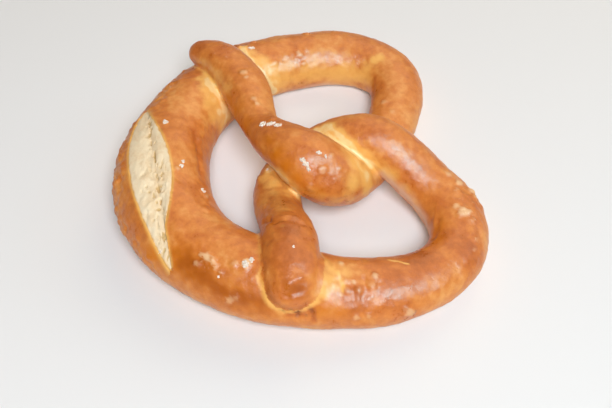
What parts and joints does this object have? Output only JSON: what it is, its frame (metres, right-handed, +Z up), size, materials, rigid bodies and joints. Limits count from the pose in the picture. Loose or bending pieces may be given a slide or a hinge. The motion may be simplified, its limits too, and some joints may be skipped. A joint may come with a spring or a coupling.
{
  "type": "soft pretzel",
  "caption": "Soft pretzel: a glossy brown rope of dough in loops with a twist, arm ends pressed on the thick belly, which has an open pale slash.",
  "frame": {"origin": "middle of the flat underside's outline, on the surface the pretzel lies on", "axes": "+X from the left loop to the right loop, +Y from the slashed belly to the notch between the loops, +Z up"},
  "size_m": [0.1596, 0.138, 0.036],
  "materials": {
    "crust": "glossy baked crust, golden in the creases and chestnut on the outer sides",
    "crumb": "matt torn crumb in the open slash, fine pores and fibres",
    "salt": "small opaque grains of coarse salt, some half melted in the crust"
  },
  "bodies": {
    "root": {"pretzel": "crust"}
  },
  "joints": []
}
